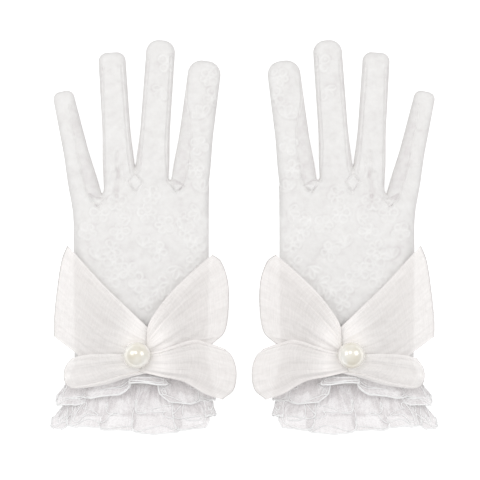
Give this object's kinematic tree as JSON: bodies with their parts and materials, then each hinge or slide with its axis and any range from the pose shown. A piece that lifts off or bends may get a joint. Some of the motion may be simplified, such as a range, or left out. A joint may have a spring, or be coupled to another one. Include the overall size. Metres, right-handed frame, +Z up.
{
  "type": "pair of lace gloves",
  "caption": "Pair of short wrist gloves in stretch lace with frilled cuffs, an organza bow and a pearl on each wrist.",
  "frame": {"origin": "on the surface the pair lies on, midway between the two gloves and midway between the fingertips and the frills' lower edge", "axes": "+Y towards the fingertips, +Z up from the surface, +X from the left glove to the right glove"},
  "size_m": [0.2148, 0.2222, 0.0336],
  "materials": {
    "stretch_lace": "soft matt knit with raised flowers",
    "hem_tape": "matt elastic tape",
    "frill_lace": "sheer lace",
    "edge_cord": "satin corded edge",
    "organza": "sheer crinkled organza",
    "pearl": "pearl lustre",
    "thread": "twisted thread"
  },
  "bodies": {
    "left_hand": {"left_back_panel": "stretch_lace", "left_palm_panel": "stretch_lace", "left_cuff_hem": "hem_tape", "left_upper_frill": "frill_lace", "left_upper_frill_cord": "edge_cord", "left_lower_frill": "frill_lace", "left_lower_frill_cord": "edge_cord", "left_bow_knot": "organza", "left_pearl_thread": "thread"},
    "left_index": {"left_index_back": "stretch_lace", "left_index_palm": "stretch_lace", "left_index_outer_fourchette": "stretch_lace"},
    "left_middle": {"left_middle_back": "stretch_lace", "left_middle_palm": "stretch_lace", "left_middle_inner_fourchette": "stretch_lace", "left_middle_outer_fourchette": "stretch_lace"},
    "left_ring": {"left_ring_back": "stretch_lace", "left_ring_palm": "stretch_lace", "left_ring_inner_fourchette": "stretch_lace", "left_ring_outer_fourchette": "stretch_lace"},
    "left_little": {"left_little_back": "stretch_lace", "left_little_palm": "stretch_lace", "left_little_inner_fourchette": "stretch_lace"},
    "left_thumb": {"left_thumb": "stretch_lace"},
    "left_bow_upper_inner_loop": {"left_bow_upper_inner_loop": "organza"},
    "left_bow_upper_outer_loop": {"left_bow_upper_outer_loop": "organza"},
    "left_bow_lower_inner_loop": {"left_bow_lower_inner_loop": "organza"},
    "left_bow_lower_outer_loop": {"left_bow_lower_outer_loop": "organza"},
    "left_pearl": {"left_pearl": "pearl"},
    "right_hand": {"right_back_panel": "stretch_lace", "right_palm_panel": "stretch_lace", "right_cuff_hem": "hem_tape", "right_upper_frill": "frill_lace", "right_upper_frill_cord": "edge_cord", "right_lower_frill": "frill_lace", "right_lower_frill_cord": "edge_cord", "right_bow_knot": "organza", "right_pearl_thread": "thread"},
    "right_index": {"right_index_back": "stretch_lace", "right_index_palm": "stretch_lace", "right_index_outer_fourchette": "stretch_lace"},
    "right_middle": {"right_middle_back": "stretch_lace", "right_middle_palm": "stretch_lace", "right_middle_inner_fourchette": "stretch_lace", "right_middle_outer_fourchette": "stretch_lace"},
    "right_ring": {"right_ring_back": "stretch_lace", "right_ring_palm": "stretch_lace", "right_ring_inner_fourchette": "stretch_lace", "right_ring_outer_fourchette": "stretch_lace"},
    "right_little": {"right_little_back": "stretch_lace", "right_little_palm": "stretch_lace", "right_little_inner_fourchette": "stretch_lace"},
    "right_thumb": {"right_thumb": "stretch_lace"},
    "right_bow_upper_inner_loop": {"right_bow_upper_inner_loop": "organza"},
    "right_bow_upper_outer_loop": {"right_bow_upper_outer_loop": "organza"},
    "right_bow_lower_inner_loop": {"right_bow_lower_inner_loop": "organza"},
    "right_bow_lower_outer_loop": {"right_bow_lower_outer_loop": "organza"},
    "right_pearl": {"right_pearl": "pearl"}
  },
  "joints": [
    {"name": "left_index_bend", "type": "hinge", "parent": "left_hand", "child": "left_index", "pos_m": [-0.0299, 0.0365, 0.011], "axis": [0.9917, -0.1288, 0], "range_deg": [0, 90]},
    {"name": "left_middle_bend", "type": "hinge", "parent": "left_hand", "child": "left_middle", "pos_m": [-0.052, 0.0392, 0.011], "axis": [0.9976, -0.0698, 0], "range_deg": [0, 90]},
    {"name": "left_ring_bend", "type": "hinge", "parent": "left_hand", "child": "left_ring", "pos_m": [-0.0711, 0.0392, 0.011], "axis": [0.998, 0.0628, 0], "range_deg": [0, 90]},
    {"name": "left_little_bend", "type": "hinge", "parent": "left_hand", "child": "left_little", "pos_m": [-0.0906, 0.0274, 0.011], "axis": [0.9751, 0.2215, 0], "range_deg": [0, 90]},
    {"name": "left_thumb_swing", "type": "hinge", "parent": "left_hand", "child": "left_thumb", "pos_m": [-0.0367, -0.042, 0.0068], "axis": [0, 0, -1], "range_deg": [0, 60]},
    {"name": "left_bow_upper_inner_lift", "type": "hinge", "parent": "left_hand", "child": "left_bow_upper_inner_loop", "pos_m": [-0.05246, -0.06042, 0.0181], "axis": [0.6, -0.8, 0], "range_deg": [0, 35]},
    {"name": "left_bow_upper_outer_lift", "type": "hinge", "parent": "left_hand", "child": "left_bow_upper_outer_loop", "pos_m": [-0.06722, -0.06026, 0.0181], "axis": [0.6172, 0.7868, 0], "range_deg": [0, 35]},
    {"name": "left_bow_lower_inner_lift", "type": "hinge", "parent": "left_hand", "child": "left_bow_lower_inner_loop", "pos_m": [-0.05083, -0.06807, 0.0181], "axis": [-0.2225, -0.9749, 0], "range_deg": [0, 35]},
    {"name": "left_bow_lower_outer_lift", "type": "hinge", "parent": "left_hand", "child": "left_bow_lower_outer_loop", "pos_m": [-0.069, -0.06794, 0.0181], "axis": [-0.2086, 0.978, 0], "range_deg": [0, 35]},
    {"name": "left_pearl_spin", "type": "hinge", "parent": "left_hand", "child": "left_pearl", "pos_m": [-0.0599, -0.066, 0.0261], "axis": [1, 0, 0], "continuous": true},
    {"name": "right_glove_slide", "type": "slide", "parent": "left_hand", "child": "right_hand", "axis": [1, 0, 0], "range_m": [0, 0.12]},
    {"name": "right_index_bend", "type": "hinge", "parent": "right_hand", "child": "right_index", "pos_m": [0.0299, 0.0365, 0.011], "axis": [0.9917, 0.1288, 0], "range_deg": [0, 90]},
    {"name": "right_middle_bend", "type": "hinge", "parent": "right_hand", "child": "right_middle", "pos_m": [0.052, 0.0392, 0.011], "axis": [0.9976, 0.0698, 0], "range_deg": [0, 90]},
    {"name": "right_ring_bend", "type": "hinge", "parent": "right_hand", "child": "right_ring", "pos_m": [0.0711, 0.0392, 0.011], "axis": [0.998, -0.0628, 0], "range_deg": [0, 90]},
    {"name": "right_little_bend", "type": "hinge", "parent": "right_hand", "child": "right_little", "pos_m": [0.0906, 0.0274, 0.011], "axis": [0.9751, -0.2215, 0], "range_deg": [0, 90]},
    {"name": "right_thumb_swing", "type": "hinge", "parent": "right_hand", "child": "right_thumb", "pos_m": [0.0367, -0.042, 0.0068], "axis": [0, 0, 1], "range_deg": [0, 60]},
    {"name": "right_bow_upper_inner_lift", "type": "hinge", "parent": "right_hand", "child": "right_bow_upper_inner_loop", "pos_m": [0.05246, -0.06042, 0.0181], "axis": [0.6, 0.8, 0], "range_deg": [0, 35]},
    {"name": "right_bow_upper_outer_lift", "type": "hinge", "parent": "right_hand", "child": "right_bow_upper_outer_loop", "pos_m": [0.06722, -0.06026, 0.0181], "axis": [0.6172, -0.7868, 0], "range_deg": [0, 35]},
    {"name": "right_bow_lower_inner_lift", "type": "hinge", "parent": "right_hand", "child": "right_bow_lower_inner_loop", "pos_m": [0.05083, -0.06807, 0.0181], "axis": [-0.2225, 0.9749, 0], "range_deg": [0, 35]},
    {"name": "right_bow_lower_outer_lift", "type": "hinge", "parent": "right_hand", "child": "right_bow_lower_outer_loop", "pos_m": [0.069, -0.06794, 0.0181], "axis": [-0.2086, -0.978, 0], "range_deg": [0, 35]},
    {"name": "right_pearl_spin", "type": "hinge", "parent": "right_hand", "child": "right_pearl", "pos_m": [0.0599, -0.066, 0.0261], "axis": [1, 0, 0], "continuous": true}
  ]
}
